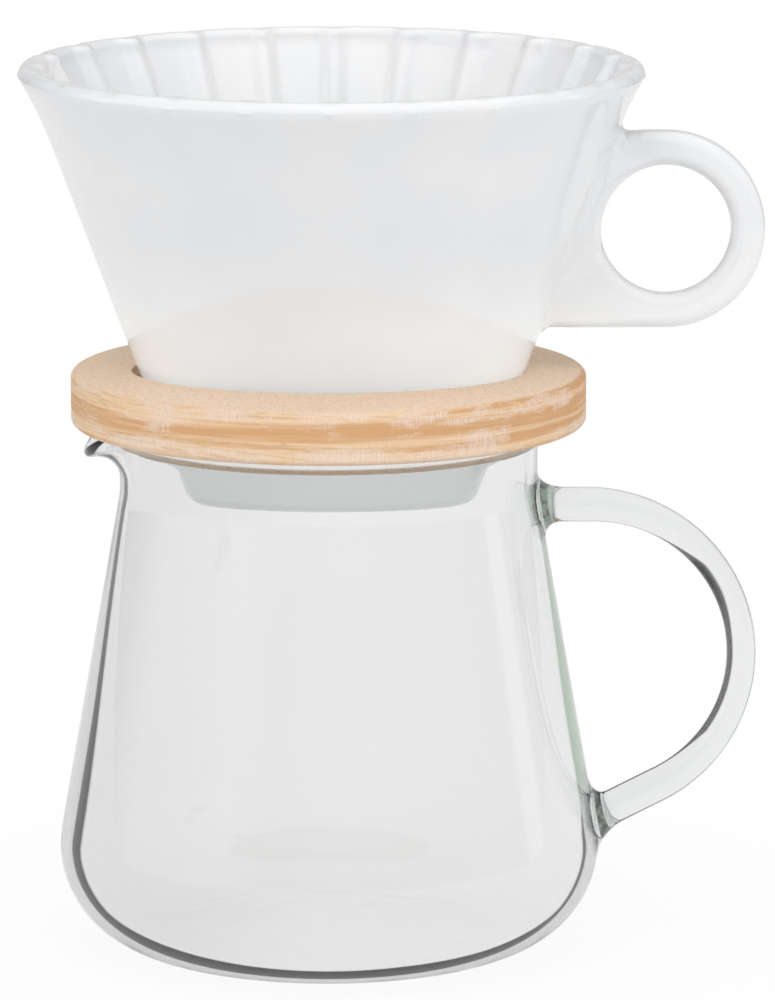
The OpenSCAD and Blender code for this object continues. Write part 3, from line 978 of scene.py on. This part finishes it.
        r = s.finger_round
        rings = []
        for (x, z), a in outline:
            start = Vector((s.finger_hole * cos(a), s.finger_hole * sin(a)))
            way = Vector((x, z)) - start
            far, way = way.length, way.normalized()
            flat = [r + (far - 2 * r) * (1 - (1 - k) ** 2.2) for k in steps(0, 1, 32)]
            half = arc((r, half_thick - r), r, pi, pi / 2, 6)[:-1] + \
                [(u, half_thick) for u in flat] + arc((far - r, half_thick - r), r, pi / 2, 0, 6)[1:]
            ring = []
            for u, v in half + [(u, -v) for u, v in reversed(half)]:
                q = start + way * u
                reach = s.finger_root * sqrt(max(0.02, 1 - (q.y / (outer + s.finger_fillet)) ** 2))
                reach *= max(0.12, 1 + min(0.0, q.y) / outer)
                p = centre + Vector((q.x, 0, q.y))
                low, high = 1.0, 1 + reach / half_thick
                for _ in range(self.halvings):
                    half_way = (low + high) / 2
                    gap = p.x - self.wall_x(p.z, v * half_way) + overlap
                    wide = 1 + reach * self.cove(gap / reach) / half_thick
                    low, high = (half_way, high) if half_way < wide else (low, half_way)
                p.y = v * low
                ring.append(p)
            rings.append(ring)
        return loop_mesh("finger_ring", rings)


def rib_nodes():
    """Geometry nodes that raise the ribs: each point moves its own way, by its place between two ribs."""
    tree = bpy.data.node_groups.new("raise_ribs", "GeometryNodeTree")
    tree.interface.new_socket("Geometry", in_out="INPUT", socket_type="NodeSocketGeometry")
    sockets = {}
    for name, kind in (("Rib Count", "NodeSocketInt"), ("Rib Height", "NodeSocketFloat"),
                       ("Rib Width", "NodeSocketFloat"), ("Material", "NodeSocketMaterial")):
        sockets[name] = tree.interface.new_socket(name, in_out="INPUT", socket_type=kind)
    tree.interface.new_socket("Geometry", in_out="OUTPUT", socket_type="NodeSocketGeometry")
    graph = Graph(tree)
    given = graph.node("NodeGroupInput")

    def read(kind, name):
        made = graph.node("GeometryNodeInputNamedAttribute", {"data_type": kind}, {"Name": name})
        return graph.socket(made.outputs, "Attribute")

    number_at = lambda name: Value(graph, read("FLOAT", name))
    pick = lambda name: Value(graph, given.outputs[name])
    ribs = number_at("rib_angle") * pick("Rib Count") / TURN
    off = (abs(ribs - round(ribs)) / pick("Rib Width")).least(1.0)
    rise = ((off * (pi / 2)).cos() ** 2.0) * number_at("rib_share") * pick("Rib Height")
    way = read("FLOAT_VECTOR", "rib_way")
    offset = graph.node("ShaderNodeVectorMath", {"operation": "SCALE"}, {"Vector": way, "Scale": rise})
    moved = graph.node("GeometryNodeSetPosition", None, {
        "Geometry": given.outputs["Geometry"], "Offset": offset.outputs[0]})
    real = graph.node("GeometryNodeRealizeInstances", None, {"Geometry": moved.outputs[0]})
    done = graph.node("GeometryNodeSetMaterial", None, {
        "Geometry": real.outputs[0], "Material": given.outputs["Material"]})
    graph.node("NodeGroupOutput", None, {"Geometry": done.outputs[0]})
    return tree, {name: socket.identifier for name, socket in sockets.items()}


class POT_OT_dripper(bpy.types.Operator):
    """Cast the ribbed dripper with its finger ring and brew holes"""

    bl_idname = "pot.dripper"
    bl_label = "Porcelain dripper"

    def execute(self, context):
        sizes = settings("pot_dripper")
        shape = DripperShape(sizes)
        material = porcelain_material()
        dripper = place("porcelain_dripper", shape.body())
        tree, ids = rib_nodes()
        ribs = dripper.modifiers.new("ribs", "NODES")
        ribs.node_group = tree
        for name, value in (("Rib Count", sizes.rib_count), ("Rib Height", sizes.rib_height),
                            ("Rib Width", sizes.rib_width), ("Material", material)):
            ribs[ids[name]] = value
        apply_modifiers(dripper)
        for name in ("rib_share", "rib_angle", "rib_way"):
            dripper.data.attributes.remove(dripper.data.attributes[name])
        join(dripper, place("finger_ring", shape.finger_ring()))
        shape.soften_root(dripper.data)
        for k in (-1, 0, 1):
            drill = bmesh.new()
            bmesh.ops.create_cone(drill, cap_ends=True, segments=48, radius1=sizes.brew_hole / 2,
                                  radius2=sizes.brew_hole / 2, depth=4 * sizes.floor)
            bmesh.ops.translate(drill, verts=drill.verts,
                                vec=(shape.middle_x + k * sizes.brew_pitch, 0, shape.low))
            mesh = bpy.data.meshes.new("drill")
            drill.to_mesh(mesh)
            drill.free()
            join(dripper, place("drill", mesh), "DIFFERENCE")
        finish_piece(dripper, material, "dripper", "porcelain", "dripper_body", "dripper_handle", sharp=50)
        return {"FINISHED"}


# Wooden ring

class POT_OT_ring(bpy.types.Operator):
    """Turn the beech ring and cut the oval seat that follows the dripper"""

    bl_idname = "pot.ring"
    bl_label = "Beech ring"

    def execute(self, context):
        sizes, shape = settings("pot_ring"), DripperShape(settings("pot_dripper"))
        outer, r = RING_BOX[1].x, sizes.rounding
        top, under = RING_BOX[1].z, SERVER_BOX[1].z + 0.2 * MM
        low = under - sizes.spigot_depth
        bevel = sizes.seat_bevel
        around = 384
        rim = arc((outer - r, under + r), r, -pi / 2, 0, 8) + arc((outer - r, top - r), r, 0, pi / 2, 8)
        rings = []
        for a in turns(around):
            seat = []
            for z in steps(top - bevel, low + bevel, 12):
                edge = shape.point(z, shape.plug_inset(z) - sizes.seat_gap, a)
                x, y = edge.x - shape.middle_x, edge.y
                seat.append((hypot(x, y), atan2(y, x), z))
            way = seat[0][1]
            mouth = [(seat[0][0] + bevel * (1 - cos(e)), top - bevel + bevel * sin(e))
                     for e in steps(pi / 2, 0, 5)[:-1]]
            spigot = [(seat[-1][0] + bevel, low), (sizes.spigot_radius - 0.6 * MM, low),
                      (sizes.spigot_radius, low + 0.6 * MM), (sizes.spigot_radius, under)]
            plate = [(sizes.spigot_radius + (outer - r - sizes.spigot_radius) * k, under)
                     for k in steps(0, 1, 4)[1:-1]]
            lid = [(outer - r + (mouth[0][0] - outer + r) * k, top) for k in steps(0, 1, 8)[1:-1]]
            section = mouth + [(q[0], q[2]) for q in seat] + spigot + plate + rim + lid
            rings.append([(q[0] * cos(way), q[0] * sin(way), q[1]) for q in section])
        ring = place("beech_ring", loop_mesh("beech_ring", rings))
        finish_piece(ring, beech_material(), "ring", "beech", "wood_ring", sharp=60)
        ring.visible_diffuse = ring.visible_shadow = False
        return {"FINISHED"}


# Stage

LAMPS = {  # place, width, height and power
    "left_box": ((-0.95, -0.45, 0.50), 0.5, 0.9, 0.9),
    "right_box": ((0.95, -0.40, 0.50), 0.5, 0.9, 2.6),
    "front_box": ((-0.30, -1.15, 1.35), 1.6, 1.0, 11.5),
    "top_box": ((0.0, -0.15, 1.20), 0.9, 0.9, 2.2),
}
MIRRORED_BOXES = {  # bearing from straight behind the pot, half width in degrees, and height
    "left_mirrored_box": (248, 46, 1.0),
    "right_mirrored_box": (82, 8, 0.7),
}
LAMP_AIM = Vector((0, 0, 0.1))
MIRRORED_DISTANCE = 0.9
WHITE = (1, 1, 1)


def light(name, where, width, height, power):
    """A soft lamp that lights the pot and isn't seen itself."""
    lamp = bpy.data.lights.new(name, "AREA")
    lamp.shape = "RECTANGLE"
    lamp.size, lamp.size_y, lamp.energy = width, height, power
    holder = bpy.data.objects.new(name, lamp)
    holder.location = where
    holder.rotation_euler = (LAMP_AIM - Vector(where)).to_track_quat("-Z", "Y").to_euler()
    holder.visible_camera = holder.visible_glossy = holder.visible_transmission = False
    bpy.context.scene.collection.objects.link(holder)


def seen_directly(graph, gloss):
    """1 for rays that show the backdrop to the camera or through glass, gloss for mirrored ones."""
    path = graph.node("ShaderNodeLightPath")
    pick = lambda name: Value(graph, path.outputs[name])
    return pick("Is Camera Ray").most(pick("Is Transmission Ray")).most(pick("Is Glossy Ray") * gloss)


def white_world(strength, gloss):
    """A white backdrop that lights softly, and that mirrors show mostly overhead and straight behind."""
    world = bpy.data.worlds.new("white_studio")
    bpy.context.scene.world = world
    graph = Graph.emptied(world)
    shown = seen_directly(graph, gloss)
    mirrored = graph.value("ShaderNodeLightPath", "Is Glossy Ray")
    sky = graph.node("ShaderNodeTexCoord").outputs["Generated"]
    way = graph.node("ShaderNodeSeparateXYZ", None, {"Vector": sky})
    overhead = Value(graph, way.outputs[2]).between(0.45, 0.9)
    behind = Value(graph, way.outputs[1]).between(0.84, 0.95, 0.0, 0.62)
    power = shown.most(strength * (1 - mirrored)).most(mirrored * overhead.most(behind))
    shade = graph.node("ShaderNodeBackground", None, {"Color": WHITE, "Strength": power})
    graph.node("ShaderNodeOutputWorld", None, {"Surface": shade.outputs[0]})


def floor_material(keep):
    """A white floor that keeps a share of its shading near the pot."""
    material, graph = bare_material("white_floor")
    x, y, _ = graph.place()
    far = (x * x + y * y).root().between(0.06, 0.18)
    matt = graph.node("ShaderNodeBsdfDiffuse", None, {"Color": (0.9, 0.9, 0.9)})
    white = graph.node("ShaderNodeEmission", None, {"Color": WHITE, "Strength": 1.0})
    shown = seen_directly(graph, 0.55) * (1 - keep * (1 - far))
    graph.node("ShaderNodeOutputMaterial", None, {"Surface": graph.mix_shader(shown, matt, white)})
    return material


def box_material(brightness):
    """The face of a soft box, which fades out to its edges."""
    material, graph = bare_material("soft_box")
    clear = graph.node("ShaderNodeBsdfTransparent")
    shine = graph.node("ShaderNodeEmission", None, {"Color": WHITE, "Strength": brightness})
    fade = graph.value("ShaderNodeAttribute", "Fac", {"attribute_name": "middle"})
    graph.node("ShaderNodeOutputMaterial", None, {"Surface": graph.mix_shader(fade, clear, shine)})
    return material


def mirrored_box(name, material, bearing, half, high):
    """An upright bowed soft box that only glossy surfaces show, bright in its middle and at its foot."""
    centre, half = radians(90 - bearing), radians(half)
    foot = arc((0, 0), MIRRORED_DISTANCE, centre - half, centre + half, 4)
    points = [(x, y, z) for z in (MM, 0.7 * high, high) for x, y in foot]
    n = len(foot)
    mesh = new_mesh(name, points, [(i, i + 1, i + n + 1, i + n) for i in range(2 * n - 1) if i != n - 1])
    mark(mesh, "middle", [i for i in range(2 * n) if 0 < i % n < n - 1])
    mesh.materials.append(material)
    box = place(name, mesh)
    box.visible_camera = box.visible_diffuse = box.visible_transmission = box.visible_shadow = False
    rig.stage(box)


class POT_OT_stage(bpy.types.Operator):
    """Set up the floor, the lights and the camera"""

    bl_idname = "pot.stage"
    bl_label = "Studio"

    def execute(self, context):
        stage, scene = settings("pot_stage"), context.scene
        scene.view_settings.view_transform = "Standard"
        white_world(stage.sky, stage.mirror_sky)
        rim = arc((0, 0), stage.floor_radius, 0, TURN, 96)[:-1]
        mesh = new_mesh("floor", [(x, y, -0.2 * MM) for x, y in rim], [tuple(range(len(rim)))])
        mesh.materials.append(floor_material(stage.shadow_keep))
        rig.stage(place("floor", mesh))
        face = box_material(stage.box_gloss)
        for name, box in MIRRORED_BOXES.items():
            mirrored_box(name, face, *box)
        for name, lamp in LAMPS.items():
            light(name, *lamp)
        lens = bpy.data.cameras.new("camera")
        lens.lens, lens.sensor_width = stage.lens, 36
        lens.clip_start, lens.clip_end = 0.05, 20
        camera = bpy.data.objects.new("camera", lens)
        camera.location = (stage.camera_side, -stage.camera_distance, stage.camera_height)
        camera.rotation_euler = (pi / 2 - stage.camera_pitch, 0, 0)
        scene.collection.objects.link(camera)
        scene.camera = camera
        return {"FINISHED"}


class POT_PT_panel(bpy.types.Panel):
    """Lists the pieces of the coffee pot"""

    bl_idname = "POT_PT_panel"
    bl_label = "Coffee Pot"
    bl_space_type = "VIEW_3D"
    bl_region_type = "UI"
    bl_category = "Coffee Pot"

    def draw(self, context):
        for operator in OPERATORS:
            self.layout.operator(operator.bl_idname)
        for name in GROUPS:
            box = self.layout.box()
            group = settings(name)
            for prop in group.__annotations__:
                box.prop(group, prop)


OPERATORS = (POT_OT_stage, POT_OT_server, POT_OT_ring, POT_OT_dripper)
CLASSES = (*GROUPS.values(), *OPERATORS, POT_PT_panel)


def register():
    for cls in CLASSES:
        bpy.utils.register_class(cls)
    for name, group in GROUPS.items():
        setattr(bpy.types.Scene, name, PointerProperty(type=group))


def unregister():
    for name in GROUPS:
        delattr(bpy.types.Scene, name)
    for cls in reversed(CLASSES):
        bpy.utils.unregister_class(cls)


def main():
    register()
    bpy.ops.pot.stage()
    bpy.ops.pot.server()
    bpy.ops.pot.ring()
    bpy.ops.pot.dripper()
    with open(SIZE_FILE, "w") as out:
        json.dump({"cad": CAD_BOX, "visual": [list(corner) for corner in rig.bounds()]}, out)


if __name__ == "__main__":
    main()
